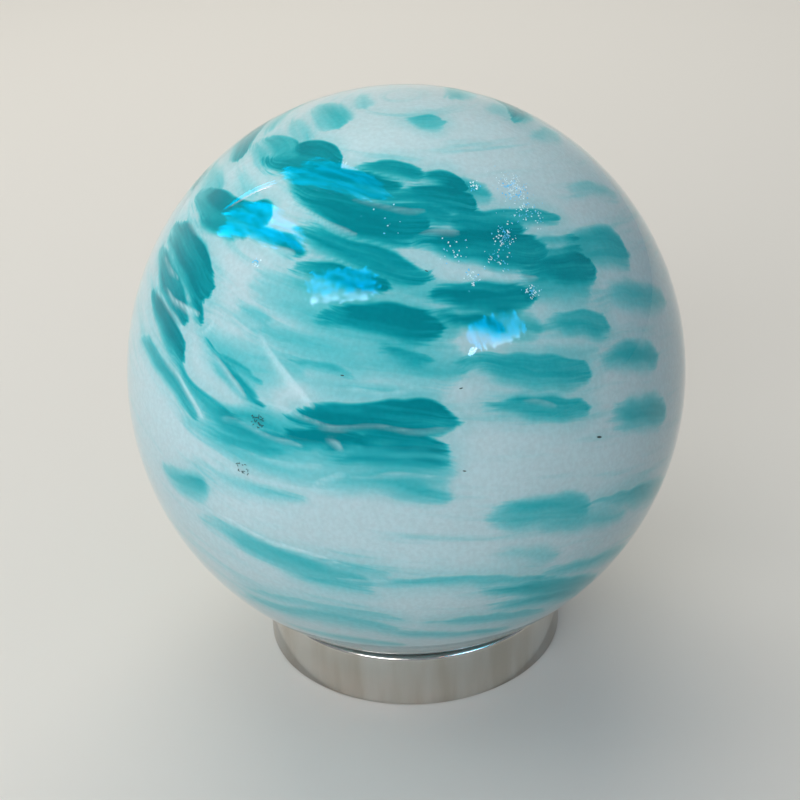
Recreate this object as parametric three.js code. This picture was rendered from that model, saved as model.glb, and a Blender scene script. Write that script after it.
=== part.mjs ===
// Witch ball: a sealed globe of blown glass that rests in a low metal ring.
// Millimetres, +Z up. The origin is on the common axis, at the underside of the ring.
import * as THREE from "three";

// Globe
const globeWidth = 150;
const globeHeight = 154; // blown a little taller than it is wide
const pontilWidth = 18; // small polished flat at the foot of the globe, hidden inside the ring

// Ring
const ringWidth = 84.5;
const ringWall = 2.2;
const ringHeight = 15.8;
const footChamfer = 0.4;

// Air between the glass and the rounded rim that carries it
const seatGap = 0.3;

// Fineness of the turned forms
const turnSteps = 64;
const globeSteps = 32;
const rimSteps = 8;

const waistRadius = globeWidth / 2;
const crownRadius = globeHeight / 2;
const rimRadius = ringWall / 2;
const rimCircle = ringWidth / 2 - rimRadius;
const rimCentreHeight = ringHeight - rimRadius;

const glass = new THREE.MeshStandardMaterial({ color: 0xa6c4c9, roughness: 0.05, metalness: 0 });
const satinSteel = new THREE.MeshStandardMaterial({ color: 0xa3a19c, roughness: 0.25, metalness: 1 });

// Height of the globe's centre at which its skin clears the round rim by the seat gap.
// The angle runs up the globe's profile from its foot; the skin there, carried outwards by the
// rim's radius and the gap, has to meet the circle on which the rim is rounded.
function seatedCentreHeight() {
  const reach = rimRadius + seatGap;
  let low = 0;
  let high = Math.PI / 2;
  let height = 0;
  while (high - low > 1e-9) {
    const angle = (low + high) / 2;
    const out = Math.sin(angle) / waistRadius;
    const down = Math.cos(angle) / crownRadius;
    const length = Math.hypot(out, down);
    const radius = waistRadius * Math.sin(angle) + (reach * out) / length;
    height = rimCentreHeight + crownRadius * Math.cos(angle) + (reach * down) / length;
    if (radius < rimCircle) low = angle;
    else high = angle;
  }
  return height;
}

// A profile of [radius, height] pairs turned about +Z.
function turned(profile) {
  const points = profile.map(([radius, height]) => new THREE.Vector2(radius, height));
  return new THREE.LatheGeometry(points, turnSteps).rotateX(Math.PI / 2);
}

// Half an ellipse from foot to crown, cut flat across the pontil, with a step at the very waist.
function globeProfile() {
  const footAngle = Math.asin(pontilWidth / globeWidth);
  const halfSteps = globeSteps / 2;
  const profile = [[0, -crownRadius * Math.cos(footAngle)]];
  for (const [start, end] of [[footAngle, Math.PI / 2], [Math.PI / 2, Math.PI]]) {
    for (let step = 0; step < halfSteps; step += 1) {
      const angle = start + ((end - start) * step) / halfSteps;
      profile.push([waistRadius * Math.sin(angle), -crownRadius * Math.cos(angle)]);
    }
  }
  profile.push([0, crownRadius]);
  return profile;
}

// Straight wall with a small chamfer at both edges of the foot and a fully rounded rim.
function ringProfile() {
  const outer = ringWidth / 2;
  const inner = outer - ringWall;
  const profile = [
    [inner, footChamfer],
    [inner + footChamfer, 0],
    [outer - footChamfer, 0],
    [outer, footChamfer],
  ];
  for (let step = 0; step <= rimSteps; step += 1) {
    const angle = (Math.PI * step) / rimSteps;
    profile.push([
      rimCircle + rimRadius * Math.cos(angle),
      rimCentreHeight + rimRadius * Math.sin(angle),
    ]);
  }
  profile.push([inner, footChamfer]);
  return profile;
}

const globe = new THREE.Mesh(turned(globeProfile()), glass);
globe.name = "glass_ball";
globe.position.z = seatedCentreHeight();

const ring = new THREE.Mesh(turned(ringProfile()), satinSteel);
ring.name = "ring_stand";

const witchBall = new THREE.Group();
witchBall.add(globe, ring);

export default witchBall;
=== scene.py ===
"""Dresses the witch ball: clear skin over milky glass with teal drawn through it, on a metal ring."""
import math
import random
from collections import namedtuple

import bmesh
import bpy
import numpy as np
from mathutils import Matrix, Quaternion, Vector


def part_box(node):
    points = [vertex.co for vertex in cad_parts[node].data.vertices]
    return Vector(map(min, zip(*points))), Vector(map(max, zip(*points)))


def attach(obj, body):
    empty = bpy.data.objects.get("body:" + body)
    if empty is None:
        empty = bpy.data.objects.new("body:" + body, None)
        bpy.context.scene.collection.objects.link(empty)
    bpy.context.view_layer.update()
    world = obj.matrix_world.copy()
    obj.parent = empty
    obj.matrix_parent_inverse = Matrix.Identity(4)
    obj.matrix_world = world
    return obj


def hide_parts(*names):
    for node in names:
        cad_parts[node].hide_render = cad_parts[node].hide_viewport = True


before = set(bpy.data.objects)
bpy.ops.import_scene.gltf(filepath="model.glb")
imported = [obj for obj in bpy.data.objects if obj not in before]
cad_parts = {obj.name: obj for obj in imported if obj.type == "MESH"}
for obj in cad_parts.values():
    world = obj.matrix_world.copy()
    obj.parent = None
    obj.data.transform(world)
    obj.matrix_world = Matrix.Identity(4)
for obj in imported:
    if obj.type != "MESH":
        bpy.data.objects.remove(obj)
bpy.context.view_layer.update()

bl_info = {
    "name": "Witch Ball",
    "version": (1, 0, 0),
    "blender": (4, 5, 0),
    "location": "View3D > Sidebar > Witch Ball",
    "description": "Builds a blown glass witch ball and its metal ring around a packed frame",
    "category": "Object",
}

BODY = "root"
MM = 0.001

BALL_LOW, BALL_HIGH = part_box("glass_ball")
RING_LOW, RING_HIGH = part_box("ring_stand")

# The globe is an ellipsoid whose foot is cut flat across the polished pontil, so the box shows its
# crown and that flat, and its half height follows from the two.
WAIST = (BALL_HIGH[0] - BALL_LOW[0]) / 2
PONTIL = 18 * MM
FOOT_ANGLE = math.asin(PONTIL / 2 / WAIST)
CROWN = (BALL_HIGH[2] - BALL_LOW[2]) / (1 + math.cos(FOOT_ANGLE))
TALLER = CROWN / WAIST
CENTRE_HEIGHT = BALL_HIGH[2] - CROWN

# Places drawn in the globe are measured about an axis that leans back by this much from upright
LEAN = math.radians(2.2)

# A stroke of colour is read along its middle line: faint tail, middle and blunt head, each a
# longitude and a latitude in degrees, longitude 0 facing -Y. Width is in mm. Depth is how much colour
# light passes through: at 1 hardly any red is left.
Stroke = namedtuple("Stroke", "tail middle head width depth")


def strokes(*rows):
    return [Stroke(*row) for row in rows]


# Teal that lies near the surface
CROWN_TEAL = strokes(
    ((6, 75.5), (20, 75), (33, 74.3), 6.0, 0.36),
    ((-56, 61), (-38, 65), (-22, 62.2), 9.0, 1.12),
    ((-76, 63), (-60, 64), (-46, 62.5), 6.5, 0.46),
    ((-14, 62.6), (-4, 62.2), (7, 59.8), 5.0, 1.05),
    ((-60, 60), (-28, 59.4), (0, 56.6), 8.4, 1.15),
    ((-45, 58.2), (-30, 56), (-16, 54.2), 5.4, 1.12),
    ((-36, 55), (-14, 51.6), (7, 47.6), 9.8, 1.12),
    ((-18, 54.6), (0, 52.2), (17, 49.4), 5.0, 1.00),
    ((-4, 56), (10, 54.8), (24, 51.2), 7.6, 1.12),
    ((5, 60.2), (13, 59.6), (22, 55.6), 5.0, 1.04),
    ((20, 49.5), (33, 48.3), (44.5, 46), 4.6, 0.64),
    ((3, 46.8), (18, 44.6), (35, 40.3), 9.4, 1.15),
    ((11, 50.2), (22, 48.6), (33, 45.2), 6.6, 1.05),
    ((-50, 49.5), (-43, 49.6), (-38.5, 48.6), 5.4, 1.12),
    ((-78, 46), (-58, 47.4), (-40, 46.8), 10.6, 1.10),
    ((-68, 44), (-55, 44.4), (-44, 45.8), 4.0, 1.10),
    ((-50, 46.3), (-36, 45.8), (-23.5, 43.2), 3.6, 1.05),
)
BROW_TEAL = strokes(
    ((-30, 47.4), (-12, 44.6), (7.5, 38.8), 6.2, 1.12),
    ((-25, 41.2), (-14, 39.8), (-3, 38.6), 5.4, 1.10),
    ((-18, 33), (-4, 32.6), (8.5, 30.2), 7.8, 1.08),
    ((7, 36), (19, 34.8), (29, 33.2), 7.6, 1.06),
    ((8, 32.6), (13, 31.2), (19, 29.3), 3.6, 0.95),
    ((28, 38.2), (39, 37), (48, 34.8), 8.0, 1.00),
    ((28, 42.8), (38, 42.3), (47, 41), 1.6, 0.50),
    ((28, 40.6), (39, 40.2), (47, 38.8), 1.8, 0.70),
    ((29, 28.2), (37, 27), (46, 23.8), 5.4, 0.50),
    ((11, 24.2), (23, 21.6), (37, 17.4), 8.2, 0.48),
    ((17, 23.4), (22, 22.4), (27, 21.4), 2.2, 0.28),
    ((13, 16.8), (23, 15), (34.5, 11.8), 5.2, 0.54),
    ((-5, 27), (1, 26.3), (6, 25), 2.8, 0.66),
    ((-22, 25), (-16, 23.9), (-11, 23), 2.2, 0.34),
)
WAIST_TEAL = strokes(
    ((-78, 39), (-61, 37.4), (-45.8, 32.4), 10.0, 1.14),
    ((-78, 34.4), (-62, 30.8), (-50, 26.8), 6.6, 1.10),
    ((-53, 31.4), (-48, 29.8), (-45.5, 27), 2.8, 1.05),
    ((-70, 27.6), (-58, 24.4), (-48, 19.6), 6.0, 1.10),
    ((-68, 18.3), (-56, 17), (-42.5, 10.8), 4.2, 0.60),
    ((-54, 21.2), (-44, 15.5), (-29, 11), 3.4, 0.50),
    ((-40, 11.5), (-30, 10.8), (-17, 10.4), 3.0, 0.46),
    ((-43, 24.5), (-35, 19.6), (-27, 16), 2.8, 0.72),
    ((-41, 23.8), (-35, 21.6), (-28.5, 19.8), 1.6, 0.36),
    ((-22, 15), (-6, 15.6), (10, 14.4), 8.4, 1.14),
    ((-5, 16.8), (2, 17.2), (9.5, 15.3), 4.6, 1.12),
    ((-15, 9.8), (-4, 12.6), (8.5, 9.8), 3.8, 1.14),
    ((-24, 11.4), (-17, 12), (-9, 12.4), 3.6, 1.10),
    ((-40, 9.4), (-31, 8.5), (-22, 8.5), 2.8, 0.34),
    ((-13, 8.2), (-4, 8), (7.5, 6.8), 3.0, 0.36),
)
FOOT_TEAL = strokes(
    ((-52, -3.8), (-46, -2.6), (-41, -1.6), 1.8, 0.25),
    ((-32, -11.5), (-18, -13.8), (-5, -15), 4.0, 0.16),
    ((-24, -17.6), (-15, -19), (-8, -20.4), 3.0, 0.18),
    ((-16, -17.8), (6, -17.6), (32, -24), 3.2, 0.24),
    ((32, -7.4), (42, -8.6), (56, -12), 2.6, 0.22),
    ((-40, -27), (-20, -26.4), (-2, -29), 3.0, 0.14),
    ((3, -30.4), (16, -31.8), (34, -37.5), 3.6, 0.24),
)

# Hazy teal that lies deeper, under more milk, and two broad hazes across the front that paint the faint
# reflection of a window
DEEP_TEAL_AND_PAINTED_REFLECTION = strokes(
    ((-90, 75), (-60, 75.5), (-38, 72.5), 9.5, 0.40),
    ((-82, 69.5), (-62, 69), (-48, 67), 2.4, 0.30),
    ((-78, 60.5), (-66, 60), (-57, 58.8), 2.6, 0.38),
    ((12, 58), (21, 56), (29, 52.6), 5.6, 0.60),
    ((-8, 39.8), (3, 38.2), (14, 36.5), 4.2, 0.34),
    ((12, 31), (20, 29.4), (27, 28.2), 4.4, 0.50),
    ((24, 34.5), (34, 33.5), (44, 31.4), 6.4, 0.46),
    ((42, 40.5), (53, 37.6), (62, 33), 11.0, 0.56),
    ((44, 29.5), (56, 26.8), (70, 21.5), 7.4, 0.30),
    ((20, 24.5), (30, 23), (40, 20.2), 4.0, 0.18),
    ((40, 19.4), (49, 17.3), (58, 13.5), 6.6, 0.42),
    ((41, 9), (50, 6.8), (59, 3.2), 7.0, 0.50),
    ((-10, 27.6), (1, 26.3), (11, 24.4), 6.0, 0.22),
    ((-41, 13.4), (-28, 12.4), (-8, 12), 7.0, 0.44),
    ((-18, 8.8), (-5, 8.4), (7.5, 7.4), 7.0, 0.66),
    ((-18, 4.2), (-5, 3.6), (7, 1.8), 4.4, 0.52),
    ((-31, 6), (-22, 4.8), (-11, 4.4), 3.6, 0.20),
    ((-43, 2), (-32, 1), (-19, 0.4), 3.4, 0.24),
    ((-46, 9.6), (-24, 7), (8, 5.6), 11.0, 0.22),
    # Painted reflection: these two broad hazes stand for the faint image of a window in front, laid as
    # hazy teal
    ((-36, 36), (-14, 33.8), (12, 29.4), 13.0, 0.30),
    ((-32, 29), (-12, 27), (10, 23), 9.6, 0.28),
    ((-26, 21.4), (-10, 20.4), (6, 19.6), 4.6, 0.18),
    ((-54, -3.8), (-48, -3.6), (-41, -2), 5.0, 0.42),
    ((-44, -9.4), (-30, -13), (-8, -18), 7.0, 0.32),
    ((13, -3.6), (24, -5.6), (35, -9.6), 11.5, 0.38),
    ((22, -8), (34, -10.5), (47, -14), 5.2, 0.22),
    ((42, -9.6), (54, -12.6), (70, -19), 5.6, 0.36),
    ((15, -13), (21, -14.4), (30, -17), 3.6, 0.18),
    ((14, -21.4), (33, -27), (50, -36), 6.6, 0.56),
    ((28, -20.6), (43, -24), (60, -29.5), 5.0, 0.40),
    ((17, -26.4), (32, -30.5), (48, -38.5), 5.6, 0.46),
    ((-46, -33), (-28, -31), (-4, -33), 7.4, 0.22),
    ((-14, -33.6), (4, -35.8), (24, -40.6), 4.2, 0.34),
    ((-34, -40), (-20, -40), (-4, -42), 5.4, 0.24),
    ((-35, 38.2), (-30, 37.5), (-25.5, 36.8), 2.6, 0.24),
    ((-39, 32.4), (-33, 31.4), (-27, 30.4), 3.4, 0.26),
    ((-46, 26), (-34, 23.6), (-20, 22), 10.0, 0.17),
    ((57, 48.8), (68, 46.8), (80, 43), 3.6, 0.20),
    ((69, 71), (82, 70), (97, 67), 5.0, 0.14),
    ((67, 61.6), (78, 60.4), (92, 57.4), 5.6, 0.17),
    ((-100, 83.5), (-70, 83), (-40, 81.4), 4.0, 0.20),
    ((-97, 50.5), (-82, 50), (-66, 49), 7.2, 0.24),
    ((-68, 54.6), (-60, 54), (-50, 52.6), 3.0, 0.14),
)

# White threads and wisps of milk
MILK = strokes(
    ((-64, 30.2), (-55, 29.2), (-47, 28.2), 1.1, 0.90),
    ((-72, 27.8), (-60, 27.4), (-51, 25.4), 0.9, 0.60),
    ((-60, 18.8), (-51, 17), (-41, 11), 1.2, 0.75),
    ((-43, 23.4), (-37, 20.2), (-32, 16.8), 1.6, 0.50),
    ((-31, 28.6), (-25, 23), (-17.5, 17.6), 2.2, 0.55),
    ((-46, 25.3), (-44, 25.6), (-42.6, 28), 0.9, 0.60),
    ((-16, 13.8), (-2, 13.7), (9, 12.8), 0.6, 0.35),
    ((-10, 5.6), (0, 5.4), (9, 4.6), 0.7, 0.50),
    ((-44, -7.2), (-28, -10), (-12, -13.2), 0.9, 0.75),
    ((-40, -8.2), (-27, -11), (-14, -13.8), 0.5, 0.50),
    ((-15, -16.8), (-9, -16.8), (-4, -16.8), 0.7, 0.60),
    ((-14.4, 12), (-12.6, 11.4), (-11.2, 10.4), 1.2, 0.50),
    ((-19, 1.4), (-16, 3.6), (-11, 5.8), 1.2, 0.40),
    ((-73, 33.8), (-66, 33.4), (-60, 33.2), 0.8, 0.50),
    ((-74, 43.4), (-66, 42), (-56, 41.6), 0.8, 0.60),
    ((-14, 20.6), (-6, 20), (2, 20.3), 0.8, 0.40),
    ((-30, 17.6), (-19, 15.4), (-9, 13.9), 0.8, 0.45),
    ((-36, 12.6), (-27, 11.4), (-19, 9.6), 0.6, 0.45),
    ((-34, 7.6), (-24, 6.6), (-15, 6.8), 0.7, 0.40),
    ((-30, 3), (-20, 2.2), (-11, 2.4), 0.7, 0.35),
    ((22, 15.6), (25, 15.2), (28, 14.4), 0.9, 0.30),
    ((5, 48.2), (9, 48), (15, 46.8), 1.6, 0.30),
    ((-14, 54.6), (-4, 53.8), (7, 52.6), 0.9, 0.26),
    ((-38, 44), (-32, 43.2), (-27, 42.6), 1.8, 0.45),
    ((10, 40), (20, 38.6), (31, 36.8), 1.4, 0.35),
    ((-36, 53), (-24, 50.6), (-12, 47.6), 1.0, 0.45),
)

# The three layers of colour, with how sharp a stroke is at its head and upper edge and how soft
# along its tail and lower edge, in mm
LAYERS = {
    "teal": (CROWN_TEAL + BROW_TEAL + WAIST_TEAL + FOOT_TEAL, 0.5, 1.9),
    "deep": (DEEP_TEAL_AND_PAINTED_REFLECTION, 1.8, 3.2),
    "milk": (MILK, 0.5, 1.2),
}


class WitchBallGlass(bpy.types.PropertyGroup):
    """Sizes and colours of the globe."""

    casing: bpy.props.FloatProperty(
        name="Casing",
        description="Thickness of the clear glass over the colour",
        default=0.9 * MM,
        unit="LENGTH",
    )
    waviness: bpy.props.FloatProperty(
        name="Waviness",
        description="How far the blown surface wanders from a true curve",
        default=0.12 * MM,
        unit="LENGTH",
    )
    skin_cuts: bpy.props.IntProperty(
        name="Skin cuts",
        description="Cuts along each edge of the block that the skin is rounded from",
        default=120,
    )
    colour_cuts: bpy.props.IntProperty(
        name="Colour cuts",
        description="Cuts along each edge of the block that the colour layer is rounded from",
        default=126,
    )
    milk: bpy.props.FloatVectorProperty(
        name="Milk",
        description="Colour of the milky glass",
        subtype="COLOR",
        default=(0.51, 0.64, 0.67),
    )
    teal: bpy.props.FloatVectorProperty(
        name="Teal",
        description="How much red, green and blue the teal lets through at a depth of 1",
        subtype="COLOR",
        default=(0.004, 0.42, 0.46),
    )
    wisp: bpy.props.FloatVectorProperty(
        name="Wisp",
        description="Colour of the white threads",
        subtype="COLOR",
        default=(0.68, 0.80, 0.83),
    )
    seed: bpy.props.IntProperty(
        name="Seed",
        description="Draw of the strokes on the side that the photograph doesn't show",
        default=11,
    )


class WitchBallRing(bpy.types.PropertyGroup):
    """Sizes and finish of the ring."""

    wall: bpy.props.FloatProperty(
        name="Wall",
        description="Thickness of the ring's wall",
        default=2.2 * MM,
        unit="LENGTH",
    )
    foot_chamfer: bpy.props.FloatProperty(
        name="Foot chamfer",
        description="Chamfer along both edges of the foot",
        default=0.4 * MM,
        unit="LENGTH",
    )
    steps: bpy.props.IntProperty(
        name="Steps",
        description="Steps of the turned form",
        default=240,
    )
    metal: bpy.props.FloatVectorProperty(
        name="Metal",
        description="Colour of the metal",
        subtype="COLOR",
        default=(0.70, 0.68, 0.64),
    )


class WitchBallStage(bpy.types.PropertyGroup):
    """Floor, light and camera."""

    floor: bpy.props.FloatVectorProperty(
        name="Floor",
        description="Colour of the floor",
        subtype="COLOR",
        default=(0.80, 0.77, 0.72),
    )
    sky: bpy.props.FloatVectorProperty(
        name="Backdrop",
        description="Colour of the pale surroundings behind and to the left",
        subtype="COLOR",
        default=(0.72, 0.70, 0.65),
    )
    room: bpy.props.FloatVectorProperty(
        name="Room",
        description="Colour of the dimmer room in front, above and to the right",
        subtype="COLOR",
        default=(0.22, 0.25, 0.29),
    )
    elevation: bpy.props.FloatProperty(
        name="Elevation",
        description="How far above the horizon the camera looks down from",
        default=math.radians(26.45),
        subtype="ANGLE",
    )
    roll: bpy.props.FloatProperty(
        name="Roll",
        description="Turn of the camera about its own line of sight",
        default=math.radians(-2.17),
        subtype="ANGLE",
    )
    distance: bpy.props.FloatProperty(
        name="Distance",
        description="From the camera to the globe's centre",
        default=409.3 * MM,
        unit="LENGTH",
    )
    lens: bpy.props.FloatProperty(
        name="Lens",
        description="Focal length on a 36 mm frame",
        default=67.5,
        unit="CAMERA",
    )


def register_piece(piece, slot_name, *nodes):
    """Rides the piece on the body and hides the nodes that it stands for; the name of its finish is not
    used.
    """
    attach(piece, BODY)
    if nodes:
        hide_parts(*nodes)


def object_from(bm, name, material, smooth=True):
    bmesh.ops.recalc_face_normals(bm, faces=bm.faces[:])
    mesh = bpy.data.meshes.new(name)
    bm.to_mesh(mesh)
    bm.free()
    mesh.polygons.foreach_set("use_smooth", [smooth] * len(mesh.polygons))
    mesh.materials.append(material)
    piece = bpy.data.objects.new(name, mesh)
    bpy.context.scene.collection.objects.link(piece)
    return piece


def new_material(name):
    material = bpy.data.materials.new(name)
    material.use_nodes = True
    return material, material.node_tree.nodes["Principled BSDF"]


class Wiring:
    """Short ways to add and join shader nodes."""

    def __init__(self, material):
        self.nodes = material.node_tree.nodes
        self.links = material.node_tree.links

    def add(self, kind, **settings):
        node = self.nodes.new(kind)
        for key, value in settings.items():
            setattr(node, key, value)
        return node

    def feed(self, socket, value):
        if hasattr(value, "is_output"):
            self.links.new(value, socket)
        else:
            socket.default_value = value

    def math(self, operation, *values, clamp=False):
        node = self.add("ShaderNodeMath", operation=operation, use_clamp=clamp)
        for socket, value in zip(node.inputs, values):
            self.feed(socket, value)
        return node.outputs[0]

    def attribute(self, name):
        return self.add("ShaderNodeAttribute", attribute_name=name).outputs["Fac"]

    def ease(self, value, low, high, out_low=0.0, out_high=1.0):
        node = self.add("ShaderNodeMapRange", interpolation_type="SMOOTHSTEP")
        for socket, number in zip(node.inputs, (value, low, high, out_low, out_high)):
            self.feed(socket, number)
        return node.outputs[0]

    def noise(self, vector, scale, detail=2.0, roughness=0.5):
        node = self.add("ShaderNodeTexNoise")
        self.feed(node.inputs["Vector"], vector)
        self.feed(node.inputs["Scale"], scale)
        self.feed(node.inputs["Detail"], detail)
        self.feed(node.inputs["Roughness"], roughness)
        return node.outputs["Fac"]

    def mix(self, factor, first, second, blend="MIX"):
        node = self.add("ShaderNodeMix", data_type="RGBA", blend_type=blend)
        self.feed(node.inputs["Factor"], factor)
        self.feed(node.inputs[6], first)
        self.feed(node.inputs[7], second)
        return node.outputs[2]


def rgba(colour):
    return (*colour, 1.0)


def on_globe(longitude, latitude):
    """Direction of a place that is measured about the leaning axis."""
    lon, lat = math.radians(longitude), math.radians(latitude)
    across, back, up = math.cos(lat) * math.sin(lon), -math.cos(lat) * math.cos(lon), math.sin(lat)
    turn, rise = math.cos(LEAN), math.sin(LEAN)
    return np.array((across, back * turn + up * rise, up * turn - back * rise))


def smoothstep(value):
    value = np.clip(value, 0.0, 1.0)
    return value * value * (3 - 2 * value)


def drift_height(directions, radius):
    """Height in mm across the drift of the glass, which sinks from left to right round the globe."""
    longitude = np.arctan2(directions[..., 0], -directions[..., 1])
    latitude = np.arcsin(np.clip(directions[..., 2], -1, 1))
    sink = 0.34 * np.sin(longitude) - 0.10 * np.sin(2 * longitude)
    return radius * (latitude + sink * np.cos(latitude))


def lay_strokes(rows, crisp, soft, directions, radius):
    """Blends strokes into one field over the given directions. All lengths are in mm.

    Returns the distance inside the nearest edge, the width of that edge, the depth of colour, how
    ragged the edge is, and the height across the drift with the weight that the strokes give it.
    """
    count = len(directions)
    edge = np.full(count, -6.0)
    weight = np.full(count, 1e-6)
    softness = weight * crisp
    depth = np.zeros(count)
    ragged = np.zeros(count)
    drift = np.zeros(count)
    drift_weight = np.zeros(count)
    for row in rows:
        tail, middle, head = (on_globe(*place) for place in (row.tail, row.middle, row.head))
        centre = tail + head
        centre /= np.linalg.norm(centre)
        up = np.cross(tail, head)
        up /= np.linalg.norm(up)
        along = np.cross(up, centre)
        half_length = radius * math.acos(float(np.dot(tail, head))) / 2
        bow = radius * math.asin(float(np.dot(middle, up)))
        near = directions @ centre > math.cos((half_length + row.width + 8) / radius)
        local = directions[near]
        run = radius * np.arctan2(local @ along, local @ centre)
        rise = radius * np.arcsin(np.clip(local @ up, -1, 1))
        part = np.clip((run / half_length + 1) / 2, 0, 1)
        off = rise - bow * (1 - (2 * part - 1) ** 2)
        half = row.width / 2 * np.maximum(part, 1e-4) ** 0.45 * np.sqrt(1 - part ** 4) * 1.34
        inside = half - np.hypot(off, run - (2 * part - 1) * half_length)
        upper = smoothstep(off / row.width + 0.5)
        local_soft = soft + (crisp - soft) * np.maximum(upper, 0.6 * smoothstep((part - 0.75) * 4))
        local_depth = row.depth * (0.60 + 0.40 * smoothstep(part / 0.3)) * (0.84 + 0.16 * upper)
        local_ragged = smoothstep((abs(2 * part - 1) - 0.4) / 0.5) * np.where(part < 0.5, 1.7, 1.0)
        share = np.exp(np.clip(2 * inside / local_soft, -12, 3))
        edge[near] = np.maximum(edge[near], inside)
        weight[near] += share
        softness[near] += share * local_soft
        depth[near] += share * local_depth
        ragged[near] += share * local_ragged
        pull = np.exp(np.clip(inside / 1.5, -8, 3))
        drift_weight[near] += pull
        drift[near] += pull * (off + float(drift_height(middle, radius)))
    return edge, softness / weight, depth / weight, ragged / weight, drift, drift_weight


def stirred(directions, radius, seed):
    """Moves directions by about a millimetre in slow waves, so that no stroke is a perfect leaf."""
    draw = random.Random(seed)
    moved = directions.copy()
    for length, reach in ((26, 0.55), (15, 0.40), (8, 0.22), (5, 0.12)):
        for _ in range(4):
            way = np.array([draw.gauss(0, 1) for _ in range(3)])
            way /= np.linalg.norm(way)
            push = np.array([draw.gauss(0, 1) for _ in range(3)])
            phase = draw.uniform(0, math.tau)
            wave = np.sin(directions @ way * (math.tau * radius / length) + phase)
            moved += wave[:, None] * push * (reach / radius / 2)
    return moved / np.linalg.norm(moved, axis=1)[:, None]


# The part of the globe that the photograph doesn't show, in degrees of longitude
HIDDEN_START = 97
HIDDEN_SPAN = 174


def hidden_strokes(seed, layer):
    """Strokes for the far side, like those that show."""
    draw = random.Random(seed)
    rows = []
    bands = {
        "teal": ((62, 5), (50, 7), (38, 8), (26, 7), (13, 8), (1, 6), (-12, 7), (-24, 6), (-36, 6)),
        "deep": ((72, 3), (44, 5), (20, 6), (-6, 6), (-30, 6)),
        "milk": ((54, 4), (32, 5), (8, 6), (-16, 5)),
    }
    for latitude, number in bands[layer]:
        for place in range(number):
            across = HIDDEN_START + HIDDEN_SPAN * (place + draw.uniform(0.1, 0.9)) / number
            up = latitude + draw.uniform(-5, 5)
            length = draw.uniform(9, 24) / max(math.cos(math.radians(up)), 0.35)
            fall = draw.uniform(0.10, 0.30) * length * max(math.cos(math.radians(up)), 0.35)
            bow = draw.uniform(0, 1.2)
            width = draw.uniform(2.6, 8.4) if layer != "milk" else draw.uniform(0.7, 1.8)
            depth = draw.uniform(0.45, 0.98) if layer != "milk" else draw.uniform(0.4, 0.9)
            if layer == "deep":
                depth *= 0.5
            rows.append(Stroke(
                (across - length / 2, up + fall / 2),
                (across, up + bow),
                (across + length / 2, up - fall / 2),
                width,
                depth,
            ))
    return rows


def rounded_block(cuts, half_width, half_height):
    """A cube cut into a grid and rounded into an ellipsoid, so that it has no poles."""
    bm = bmesh.new()
    bmesh.ops.create_cube(bm, size=2.0)
    bmesh.ops.subdivide_edges(bm, edges=bm.edges[:], cuts=cuts, use_grid_fill=True)
    quarter = math.pi / 4
    for vertex in bm.verts:
        vertex.co = Vector(math.tan(value * quarter) for value in vertex.co).normalized()
    bmesh.ops.scale(bm, vec=(half_width, half_width, half_height), verts=bm.verts)
    bmesh.ops.translate(bm, vec=(0, 0, CENTRE_HEIGHT), verts=bm.verts)
    return bm


def flatten_foot(bm, inset=0.0):
    """Cuts the polished flat across the foot of the globe."""
    height = CENTRE_HEIGHT - CROWN * math.cos(FOOT_ANGLE) + inset
    for vertex in bm.verts:
        vertex.co.z = max(vertex.co.z, height)


def wander(point):
    """A slow, smooth wave over the globe from -1 to 1."""
    x, y, z = (value / MM for value in point)
    wave = math.sin(x / 17 + 1.3 * math.sin(z / 23)) * math.cos(y / 19 + 0.7)
    ripple = math.sin(z / 9 + x / 14) * math.cos(y / 11 - z / 25)
    return 0.65 * wave + 0.35 * ripple


def clear_glass():
    material, shader = new_material("clear_glass")
    shader.inputs["Base Color"].default_value = (0.97, 0.99, 0.99, 1)
    shader.inputs["Roughness"].default_value = 0.02
    shader.inputs["Specular Tint"].default_value = (0.15, 0.60, 0.96, 1)
    shader.inputs["IOR"].default_value = 1.5
    shader.inputs["Transmission Weight"].default_value = 1.0
    return material


def ramp_of_depth(wires, glass, depth):
    """What teal lets through: each stop darkens as clear coloured glass does with its thickness."""
    deepest = 1.15
    count = 12
    ramp = wires.add("ShaderNodeValToRGB")
    stops = ramp.color_ramp.elements
    for step in range(count):
        share = step / (count - 1)
        stop = stops[step] if step in (0, 1) else stops.new(share)
        stop.position = share
        stop.color = rgba([channel ** (share * deepest) for channel in glass.teal])
    wires.feed(ramp.inputs[0], wires.math("DIVIDE", depth, deepest))
    return ramp.outputs[0]


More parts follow.
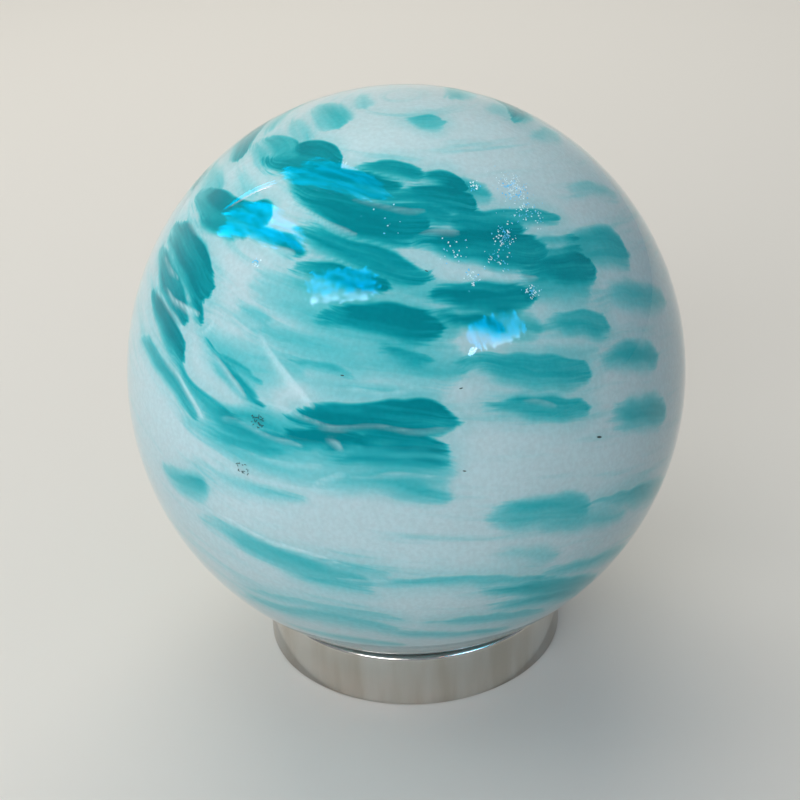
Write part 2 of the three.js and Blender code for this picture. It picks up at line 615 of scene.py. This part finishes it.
def coloured_glass(glass):
    """Milky glass with the three layers of strokes, drawn out along the drift."""
    material, shader = new_material("milky_teal_glass")
    wires = Wiring(material)
    place = wires.add("ShaderNodeTexCoord").outputs["Object"]
    split = wires.add("ShaderNodeSeparateXYZ")
    wires.feed(split.inputs[0], place)
    drift = wires.attribute("drift")

    def along_drift(length, thickness):
        """A point in noise space whose patterns run far along the drift and are thin across it."""
        join = wires.add("ShaderNodeCombineXYZ")
        wires.feed(join.inputs[0], wires.math("MULTIPLY", split.outputs[0], 1 / (length * MM)))
        wires.feed(join.inputs[1], wires.math("MULTIPLY", split.outputs[1], 1 / (length * MM)))
        wires.feed(join.inputs[2], wires.math("MULTIPLY", drift, 1 / thickness))
        return join.outputs[0]

    fine = wires.noise(along_drift(18, 1.1), 1.0, 3.0, 0.6)
    broad = wires.noise(along_drift(34, 3.6), 1.0, 3.0, 0.55)
    speckle = wires.noise(place, 900.0, 2.0, 0.6)
    cloud = wires.noise(place, 26.0, 3.0, 0.5)
    ragged = wires.math("SUBTRACT", wires.noise(along_drift(9, 1.1), 1.0, 2.0, 0.5), 0.5)
    lobes = wires.math("SUBTRACT", wires.noise(place, 170.0, 1.0, 0.5), 0.5)

    def cover(layer, rag, lobe):
        """How far a layer hides what is under it, from its edge, softness and depth."""
        comb = wires.math("MULTIPLY", ragged, wires.attribute(layer + "_rag"))
        edge = wires.math("MULTIPLY_ADD", comb, rag, wires.attribute(layer + "_edge"))
        edge = wires.math("MULTIPLY_ADD", lobes, lobe, edge)
        ratio = wires.math("DIVIDE", edge, wires.attribute(layer + "_soft"))
        spread = wires.ease(ratio, -0.9, 1.1)
        return wires.math("MULTIPLY", spread, wires.attribute(layer + "_depth"))

    streaks_and_painted_reflection = wires.ease(wires.attribute("teal_rag"), 0.0, 1.4, 0.13, 0.40)
    streak = wires.math("ADD", 1.0, wires.math("MULTIPLY", streaks_and_painted_reflection, wires.ease(fine, 0.30, 0.72, -1.0, 0.6)))
    sweep = wires.ease(broad, 0.32, 0.66, 0.70, 1.10)
    teal = wires.math("MULTIPLY", wires.math("MULTIPLY", cover("teal", 3.2, 0.6), streak), sweep)
    deep = wires.math("MULTIPLY", cover("deep", 3.2, 0.8), sweep)
    ghost = wires.ease(broad, 0.50, 0.82, 0.0, 0.10)
    halo = wires.ease(wires.attribute("teal_edge"), -6.0, 0.5, 0.0, 0.06)
    depth = wires.math("ADD", wires.math("ADD", teal, deep), wires.math("ADD", ghost, halo))
    thin_milk = [value * 0.95 for value in glass.milk]
    milk = wires.mix(wires.ease(cloud, 0.30, 0.72), rgba(thin_milk), rgba(glass.milk))
    colour = wires.mix(1.0, milk, ramp_of_depth(wires, glass, depth), "MULTIPLY")
    white = cover("milk", 0.8, 0.5)
    colour = wires.mix(white, colour, rgba(glass.wisp))
    grain = wires.ease(speckle, 0.30, 0.72, 0.95, 1.04)
    colour = wires.mix(1.0, colour, grain, "MULTIPLY")
    wires.feed(shader.inputs["Base Color"], colour)
    shader.inputs["Roughness"].default_value = 0.55
    shader.inputs["Specular IOR Level"].default_value = 0.0
    shader.inputs["Subsurface Weight"].default_value = 0.35
    shader.inputs["Subsurface Radius"].default_value = (0.25, 1.0, 1.0)
    shader.inputs["Subsurface Scale"].default_value = 4 * MM
    return material


def paint_strokes(mesh, seed, radius):
    """Writes the strokes to the colour layer as attributes that its material reads."""
    count = len(mesh.vertices)
    places = np.empty(count * 3)
    mesh.vertices.foreach_get("co", places)
    directions = places.reshape(-1, 3) - (0, 0, CENTRE_HEIGHT)
    directions[:, 2] /= TALLER
    directions /= np.linalg.norm(directions, axis=1)[:, None]
    drift = drift_height(directions, radius)
    drift_weight = np.ones(count)
    for layer, (shown, crisp, soft) in LAYERS.items():
        rows = shown + hidden_strokes(f"{layer} {seed}", layer)
        stir = stirred(directions, radius, f"stir {layer}")
        edge, softness, depth, ragged, pulled, pull = lay_strokes(rows, crisp, soft, stir, radius)
        if layer != "milk":
            drift += pulled
            drift_weight += pull
        for name, values in (("edge", edge), ("soft", softness), ("depth", depth), ("rag", ragged)):
            field = mesh.attributes.new(f"{layer}_{name}", "FLOAT", "POINT")
            field.data.foreach_set("value", values)
    field = mesh.attributes.new("drift", "FLOAT", "POINT")
    field.data.foreach_set("value", drift / drift_weight)


class WITCHBALL_OT_skin(bpy.types.Operator):
    """Blows the clear outer skin of the globe."""

    bl_idname = "witchball.skin"
    bl_label = "Glass skin"

    def execute(self, context):
        glass = context.scene.witch_ball_glass
        bm = rounded_block(glass.skin_cuts, WAIST, CROWN)
        centre = Vector((0, 0, CENTRE_HEIGHT))
        for vertex in bm.verts:
            outward = (vertex.co - centre).normalized()
            vertex.co -= outward * glass.waviness * (1 + wander(vertex.co)) / 2
        flatten_foot(bm)
        piece = object_from(bm, "glass_skin", clear_glass())
        piece.visible_shadow = False
        register_piece(piece, "opal_glass", "glass_ball")
        return {"FINISHED"}


class WITCHBALL_OT_colour(bpy.types.Operator):
    """Lays the milky glass and its teal strokes inside the skin."""

    bl_idname = "witchball.colour"
    bl_label = "Colour layer"

    def execute(self, context):
        glass = context.scene.witch_ball_glass
        bm = rounded_block(glass.colour_cuts, WAIST - glass.casing, CROWN - glass.casing)
        flatten_foot(bm, glass.casing / 2)
        piece = object_from(bm, "milky_colour_layer", coloured_glass(glass))
        paint_strokes(piece.data, glass.seed, WAIST / MM)
        register_piece(piece, "opal_glass")
        return {"FINISHED"}


class WITCHBALL_OT_ring(bpy.types.Operator):
    """Turns the metal ring that carries the globe."""

    bl_idname = "witchball.ring"
    bl_label = "Metal ring"

    def execute(self, context):
        ring = context.scene.witch_ball_ring
        outer = (RING_HIGH[0] - RING_LOW[0]) / 2
        inner = outer - ring.wall
        rim = ring.wall / 2
        chamfer = ring.foot_chamfer
        foot = RING_LOW[2]
        profile = [
            (inner, foot + chamfer),
            (inner + chamfer, foot),
            (outer - chamfer, foot),
            (outer, foot + chamfer),
        ]
        rim_steps = 16
        for step in range(rim_steps + 1):
            angle = math.pi * step / rim_steps
            radius = outer - rim + rim * math.cos(angle)
            profile.append((radius, RING_HIGH[2] - rim + rim * math.sin(angle)))
        bm = bmesh.new()
        corners = [bm.verts.new((radius, 0, height)) for radius, height in profile]
        edges = [bm.edges.new(pair) for pair in zip(corners, corners[1:] + corners[:1])]
        bmesh.ops.spin(
            bm, geom=corners + edges, cent=(0, 0, 0), axis=(0, 0, 1), angle=2 * math.pi,
            steps=ring.steps, use_merge=True,
        )
        bmesh.ops.remove_doubles(bm, verts=bm.verts, dist=1e-6)
        piece = object_from(bm, "metal_ring", ring_metal(ring))
        register_piece(piece, "satin_metal", "ring_stand")
        light_rim(piece)
        return {"FINISHED"}


def ring_metal(ring):
    """Metal with faint marks of buffing round the ring, and warmer, darker upright patches that paint
    streaks of reflected floor into its colour.
    """
    material, shader = new_material("satin_metal")
    wires = Wiring(material)
    place = wires.add("ShaderNodeTexCoord").outputs["Object"]
    mapping = wires.add("ShaderNodeMapping")
    mapping.inputs["Scale"].default_value = (60, 60, 5200)
    wires.feed(mapping.inputs[0], place)
    buffed = wires.noise(mapping.outputs[0], 1.0, 3.0, 0.6)
    upright = wires.add("ShaderNodeMapping")
    upright.inputs["Scale"].default_value = (110, 110, 14)
    wires.feed(upright.inputs[0], place)
    patch = wires.noise(upright.outputs[0], 1.0, 3.0, 0.55)
    # Painted reflection: the warmer, darker tone in upright patches stands for the floor seen in the metal
    streaks_and_painted_reflection = (ring.metal[0] * 0.84, ring.metal[1] * 0.79, ring.metal[2] * 0.73)
    tone = wires.mix(wires.ease(patch, 0.34, 0.68), rgba(ring.metal), rgba(streaks_and_painted_reflection))
    wires.feed(shader.inputs["Base Color"], tone)
    shader.inputs["Metallic"].default_value = 1.0
    marks = wires.ease(buffed, 0.3, 0.7, 0.15, 0.22)
    rough = wires.math("ADD", marks, wires.ease(patch, 0.3, 0.7, 0.0, 0.05))
    wires.feed(shader.inputs["Roughness"], rough)
    bump = wires.add("ShaderNodeBump")
    bump.inputs["Strength"].default_value = 0.05
    bump.inputs["Distance"].default_value = 0.02 * MM
    wires.feed(bump.inputs["Height"], buffed)
    wires.feed(shader.inputs["Normal"], bump.outputs[0])
    return material


# Clusters of mica glints under the skin: longitude, latitude, how many, and their spread in mm
GLINT_CLUSTERS = (
    (37.5, 54, 150, 3.8),
    (36, 49, 90, 5.2),
    (25, 56, 30, 1.8),
    (26.5, 45, 80, 2.4),
    (23, 41, 40, 3.4),
    (13, 43.5, 26, 3.0),
    (28.6, 34.4, 50, 2.0),
    (15.5, 38.4, 30, 2.2),
    (-36.5, 40.2, 18, 1.3),
    (-4, 49, 9, 5.0),
    (-22, 63, 10, 2.0),
    (160, 30, 70, 8.0),
    (215, 50, 70, 7.0),
    (250, 10, 60, 6.0),
)

# Single dark specks in the glass: longitude, latitude, length in mm
SPECKS = (
    (-12, 22.9, 0.9),
    (10, 20.1, 0.9),
    (37, 5.9, 1.6),
    (9.6, 5.7, 0.9),
    (5.5, 40.6, 0.8),
    (140, 12, 0.9),
    (205, -8, 0.8),
    (238, 33, 1.0),
)

# Clusters of short fine scratches: longitude, latitude, how many, and their spread in mm
SCRATCHES = (
    (-28.2, 13.3, 22, 3.6),
    (-31.5, 4.1, 18, 3.2),
    (175, 20, 16, 3.2),
)


def scatter(bm, direction, depth, size, subdivisions, turn):
    """Adds one small flake under the skin, lying along it, of the length, width and thickness given."""
    shape = bmesh.ops.create_icosphere(bm, subdivisions=subdivisions, radius=0.5)
    verts = shape["verts"]
    outward = Vector(direction)
    stand = outward.to_track_quat("Z", "Y").to_matrix().to_4x4()
    spin = turn.to_matrix().to_4x4()
    flatten = Matrix.Diagonal((*size, 1))
    reach = Vector((outward.x * (WAIST - depth), outward.y * (WAIST - depth), outward.z * (CROWN - depth)))
    place = Matrix.Translation(reach + Vector((0, 0, CENTRE_HEIGHT)))
    bmesh.ops.transform(bm, matrix=place @ stand @ spin @ flatten, verts=verts)


class WITCHBALL_OT_glints(bpy.types.Operator):
    """Scatters the mica glints, dark specks and fine scratches under the skin."""

    bl_idname = "witchball.glints"
    bl_label = "Glints, specks and scratches"

    def execute(self, context):
        glass = context.scene.witch_ball_glass
        draw = random.Random(glass.seed + 1)
        depth = glass.casing * 0.55
        bm = bmesh.new()
        for longitude, latitude, number, spread in GLINT_CLUSTERS:
            for _ in range(number):
                up = latitude + math.degrees(draw.gauss(0, spread * 0.5) * MM / WAIST)
                across = longitude + math.degrees(
                    draw.gauss(0, spread * 0.5) * MM / WAIST) / max(math.cos(math.radians(up)), 0.3)
                size = draw.uniform(0.20, 0.60) * MM
                tilt = Quaternion((draw.uniform(-1, 1), draw.uniform(-1, 1), 0.1), draw.uniform(0, 0.7))
                turn = Quaternion((0, 0, 1), draw.uniform(0, math.tau)) @ tilt
                scatter(bm, on_globe(across, up), depth, (size, size * 0.7, size * 0.25), 1, turn)
        piece = object_from(bm, "mica_glints", mica(), smooth=False)
        piece.visible_shadow = False
        register_piece(piece, "opal_glass")

        bm = bmesh.new()
        for longitude, latitude, size in SPECKS:
            turn = Quaternion((0, 0, 1), draw.uniform(-0.5, 0.5))
            length = size * MM
            shape = (length, length * 0.34, length * 0.3)
            scatter(bm, on_globe(longitude, latitude), depth, shape, 2, turn)
        for longitude, latitude, number, spread in SCRATCHES:
            for _ in range(number):
                up = latitude + math.degrees(draw.uniform(-0.5, 0.5) * spread * 0.8 * MM / WAIST)
                across = longitude + math.degrees(draw.uniform(-0.5, 0.5) * spread * MM / WAIST)
                turn = Quaternion((0, 0, 1), draw.gauss(0.8, 0.9))
                shape = (draw.uniform(0.4, 1.1) * MM, 0.2 * MM, 0.14 * MM)
                scatter(bm, on_globe(across, up), depth * 0.5, shape, 1, turn)
        material, shader = new_material("speck")
        shader.inputs["Base Color"].default_value = (0.03, 0.05, 0.045, 1)
        shader.inputs["Roughness"].default_value = 0.6
        piece = object_from(bm, "specks_and_scratches", material)
        register_piece(piece, "opal_glass")
        return {"FINISHED"}


def mica():
    """Flakes coloured white in places and azure in others: real mica flakes, with the white and blue of
    their glints painted into the colour.
    """
    material, shader = new_material("mica")
    wires = Wiring(material)
    place = wires.add("ShaderNodeTexCoord").outputs["Object"]
    # Painted glint: the white and azure base colours stand for the sparkle the flakes reflect
    tone = wires.ease(wires.noise(place, 700.0, 1.0, 0.5), 0.42, 0.58)
    colour = wires.mix(tone, rgba((0.10, 0.62, 0.95)), rgba((0.86, 0.98, 1.0)))
    wires.feed(shader.inputs["Base Color"], colour)
    shader.inputs["Metallic"].default_value = 0.3
    shader.inputs["Roughness"].default_value = 0.3
    return material


# Soft lights: name, azimuth and elevation in degrees (0 faces the front, positive to the right),
# distance and width and height in metres, colour, brightness in watts
Lamp = namedtuple("Lamp", "name azimuth elevation distance width height colour power")
ROOM_LAMPS = (
    Lamp("key", -95, 42, 1.1, 0.7, 0.6, (1.0, 0.96, 0.90), 1.9),
    Lamp("back", -172, 46, 1.5, 1.4, 0.8, (1.0, 0.93, 0.80), 10.2),
    Lamp("fill", -21, 24, 1.6, 1.3, 0.8, (0.92, 0.97, 1.0), 12.5),
    Lamp("overhead", -100, 75, 1.5, 1.2, 1.2, (0.95, 0.98, 1.0), 2.0),
)
# The lamp that only the ring sees
RIM_LAMP = Lamp("rim_lamp", -30, 38, 0.9, 0.40, 0.44, (1.0, 1.0, 1.0), 4.5)

# Bright windows that show only as reflections: azimuth and elevation in degrees, turn in degrees
# about the line to the globe, length and width in metres, brightness, how square its corners
# are, how finely leaves cut it along and across, and how much of its height is pale below the sky
Window = namedtuple(
    "Window", "name azimuth elevation turn length width brightness corners along across pale"
)
WINDOWS = (
    Window("left_window", -106, 44, 42, 1.08, 0.28, 11, 2.6, 3, 4, 0.0),
    Window("left_curtain", -128, 36, 96, 0.42, 0.08, 6, 2, 1.5, 6, 0.3),
    Window("roof_window", -132, 65, 84, 1.00, 0.30, 6, 2.4, 5, 7, 0.0),
    Window("front_window", -37, 52, 22, 0.62, 0.29, 12, 4.4, 11, 5, 0.3),
    Window("right_window", 41, 32, -4, 0.56, 0.26, 12, 2.4, 16, 2, 0.2),
    Window("window_gap", 28, 27.5, 30, 0.10, 0.05, 30, 2, 6, 3, 1.0),
)
WINDOW_DISTANCE = 1.2

# The skin's reflection takes out most of the red, so the haze that has to look white is strong in it
SKY = (0.0, 0.66, 1.0)
HAZE = (3.0, 1.1, 1.0)


def toward(azimuth, elevation):
    az, el = math.radians(azimuth), math.radians(elevation)
    return Vector((math.sin(az) * math.cos(el), -math.cos(az) * math.cos(el), math.sin(el)))


def facing_globe(way, turn=0.0):
    """Rotation that faces the globe with X level, then turned about the line to it."""
    level = Vector((0, 0, 1)).cross(way).normalized()
    upright = way.cross(level)
    stand = Matrix((level, upright, way)).transposed()
    return stand.to_quaternion() @ Quaternion((0, 0, 1), math.radians(turn))


def hang_lamp(lamp):
    data = bpy.data.lights.new(lamp.name, "AREA")
    data.shape = "RECTANGLE"
    data.size, data.size_y = lamp.width, lamp.height
    data.color = lamp.colour
    data.energy = lamp.power
    way = toward(lamp.azimuth, lamp.elevation)
    light = bpy.data.objects.new(lamp.name, data)
    light.location = Vector((0, 0, CENTRE_HEIGHT)) + way * lamp.distance
    light.rotation_mode = "QUATERNION"
    light.rotation_quaternion = facing_globe(way)
    light.visible_glossy = False
    bpy.context.scene.collection.objects.link(light)


def light_rim(ring):
    """A lamp for the ring alone, which puts the white glint on its rim."""
    hang_lamp(RIM_LAMP)
    light = bpy.data.objects[RIM_LAMP.name]
    light.visible_glossy = True
    lit = bpy.data.collections.new("lit_by_rim_lamp")
    lit.objects.link(ring)
    light.light_linking.receiver_collection = lit


def window_light(window):
    """Light through a window whose edges are broken by leaves and a curtain."""
    material = bpy.data.materials.new(window.name)
    material.use_nodes = True
    material.node_tree.nodes.clear()
    wires = Wiring(material)
    place = wires.add("ShaderNodeUVMap").outputs[0]
    split = wires.add("ShaderNodeSeparateXYZ")
    wires.feed(split.inputs[0], place)
    stretched = wires.add("ShaderNodeMapping")
    stretched.inputs["Location"].default_value = (window.azimuth, window.elevation, 0)
    stretched.inputs["Scale"].default_value = (window.along, window.across, 1)
    wires.feed(stretched.inputs[0], place)
    leaves = wires.noise(stretched.outputs[0], 1.0, 4.0, 0.6)
    reach = 0.0
    for output in split.outputs[:2]:
        offset = wires.math("ABSOLUTE", wires.math("MULTIPLY_ADD", output, 2.0, -1.0))
        reach = wires.math("ADD", wires.math("POWER", offset, window.corners), reach)
    inside = wires.math("SUBTRACT", 1.0, wires.math("POWER", reach, 1 / window.corners))
    ragged = wires.math("MULTIPLY_ADD", wires.math("SUBTRACT", leaves, 0.5), 1.1, inside)
    shape = wires.ease(ragged, 0.04, 0.26)
    shade = wires.ease(leaves, 0.34, 0.66, 0.25, 1.15)
    height = wires.math("MULTIPLY_ADD", leaves, 0.5, split.outputs[1])
    colour = wires.mix(wires.ease(height, window.pale + 0.15, window.pale + 0.35), rgba(HAZE), rgba(SKY))
    emission = wires.add("ShaderNodeEmission")
    wires.feed(emission.inputs["Color"], colour)
    wires.feed(emission.inputs["Strength"], wires.math("MULTIPLY", shade, window.brightness))
    clear = wires.add("ShaderNodeBsdfTransparent")
    blend = wires.add("ShaderNodeMixShader")
    wires.feed(blend.inputs[0], shape)
    wires.feed(blend.inputs[1], clear.outputs[0])
    wires.feed(blend.inputs[2], emission.outputs[0])
    output = wires.add("ShaderNodeOutputMaterial")
    wires.feed(output.inputs[0], blend.outputs[0])
    return material


def hang_window(window):
    bm = bmesh.new()
    bm.loops.layers.uv.new("UVMap")
    bmesh.ops.create_grid(bm, x_segments=1, y_segments=1, size=0.5, calc_uvs=True)
    way = toward(window.azimuth, window.elevation)
    place = Matrix.Translation(Vector((0, 0, CENTRE_HEIGHT)) + way * WINDOW_DISTANCE)
    place @= facing_globe(way, window.turn).to_matrix().to_4x4()
    place @= Matrix.Diagonal((window.length, window.width, 1, 1))
    bmesh.ops.transform(bm, matrix=place, verts=bm.verts)
    card = object_from(bm, window.name, window_light(window), smooth=False)
    card.visible_camera = False
    card.visible_diffuse = False
    card.visible_transmission = False
    card.visible_shadow = False


# Large enough that the floor's edge lies outside the camera's view
FLOOR_RADIUS = 1.6


class WITCHBALL_OT_stage(bpy.types.Operator):
    """Sets the floor, the light and the camera."""

    bl_idname = "witchball.stage"
    bl_label = "Stage"

    def execute(self, context):
        stage = context.scene.witch_ball_stage
        scene = context.scene
        self.lay_floor(stage)
        self.light_room(scene, stage)
        self.place_camera(scene, stage)
        scene.view_settings.view_transform = "Standard"
        return {"FINISHED"}

    def lay_floor(self, stage):
        bm = bmesh.new()
        bmesh.ops.create_circle(bm, cap_ends=True, radius=FLOOR_RADIUS, segments=96)
        material, shader = new_material("pale_floor")
        shader.inputs["Base Color"].default_value = rgba(stage.floor)
        shader.inputs["Roughness"].default_value = 0.9
        shader.inputs["Specular IOR Level"].default_value = 0.0
        floor = object_from(bm, "floor", material, smooth=False)

    def light_room(self, scene, stage):
        world = bpy.data.worlds.new("room")
        world.use_nodes = True
        background = world.node_tree.nodes["Background"]
        wires = Wiring(world)
        way = wires.add("ShaderNodeTexCoord").outputs["Generated"]
        split = wires.add("ShaderNodeSeparateXYZ")
        wires.feed(split.inputs[0], way)
        behind = wires.math("MULTIPLY_ADD", split.outputs[0], -0.4, split.outputs[1])
        behind = wires.math("MULTIPLY_ADD", split.outputs[2], -0.8, behind)
        backdrop = wires.ease(behind, 0.4, 1.1)
        wires.feed(background.inputs["Color"], wires.mix(backdrop, rgba(stage.room), rgba(stage.sky)))
        background.inputs["Strength"].default_value = 1.0
        scene.world = world
        for lamp in ROOM_LAMPS:
            hang_lamp(lamp)
        for window in WINDOWS:
            hang_window(window)

    def place_camera(self, scene, stage):
        frame_width = 800
        ball_across, ball_down = 407.1, 371.5
        data = bpy.data.cameras.new("camera")
        data.lens = stage.lens
        data.sensor_width = 36
        data.clip_start = 0.01
        focal = stage.lens / data.sensor_width * frame_width
        sight = Vector((0, math.cos(stage.elevation), -math.sin(stage.elevation)))
        turn = sight.to_track_quat("-Z", "Y")
        turn @= Quaternion((0, 1, 0), math.atan((ball_across - frame_width / 2) / focal))
        turn @= Quaternion((1, 0, 0), math.atan((ball_down - frame_width / 2) / focal))
        turn @= Quaternion((0, 0, 1), stage.roll)
        camera = bpy.data.objects.new("camera", data)
        camera.rotation_mode = "QUATERNION"
        camera.rotation_quaternion = turn
        camera.location = Vector((0, 0, CENTRE_HEIGHT)) - sight * stage.distance
        scene.collection.objects.link(camera)
        scene.camera = camera


class WITCHBALL_PT_panel(bpy.types.Panel):
    """Lists the pieces and their settings."""

    bl_label = "Witch Ball"
    bl_idname = "WITCHBALL_PT_panel"
    bl_space_type = "VIEW_3D"
    bl_region_type = "UI"
    bl_category = "Witch Ball"

    def draw(self, context):
        for settings in SETTINGS:
            box = self.layout.box()
            for name in SETTINGS[settings].__annotations__:
                box.prop(getattr(context.scene, settings), name)
        for operator in OPERATORS:
            self.layout.operator(operator.bl_idname)


SETTINGS = {
    "witch_ball_glass": WitchBallGlass,
    "witch_ball_ring": WitchBallRing,
    "witch_ball_stage": WitchBallStage,
}
OPERATORS = (
    WITCHBALL_OT_stage,
    WITCHBALL_OT_ring,
    WITCHBALL_OT_colour,
    WITCHBALL_OT_skin,
    WITCHBALL_OT_glints,
)


def register():
    for settings, kind in SETTINGS.items():
        bpy.utils.register_class(kind)
        setattr(bpy.types.Scene, settings, bpy.props.PointerProperty(type=kind))
    for kind in (*OPERATORS, WITCHBALL_PT_panel):
        bpy.utils.register_class(kind)


def unregister():
    for kind in reversed((*OPERATORS, WITCHBALL_PT_panel)):
        bpy.utils.unregister_class(kind)
    for settings, kind in SETTINGS.items():
        delattr(bpy.types.Scene, settings)
        bpy.utils.unregister_class(kind)


def main():
    register()
    bpy.ops.witchball.stage()
    bpy.ops.witchball.ring()
    bpy.ops.witchball.colour()
    bpy.ops.witchball.skin()
    bpy.ops.witchball.glints()


if __name__ == "__main__":
    main()
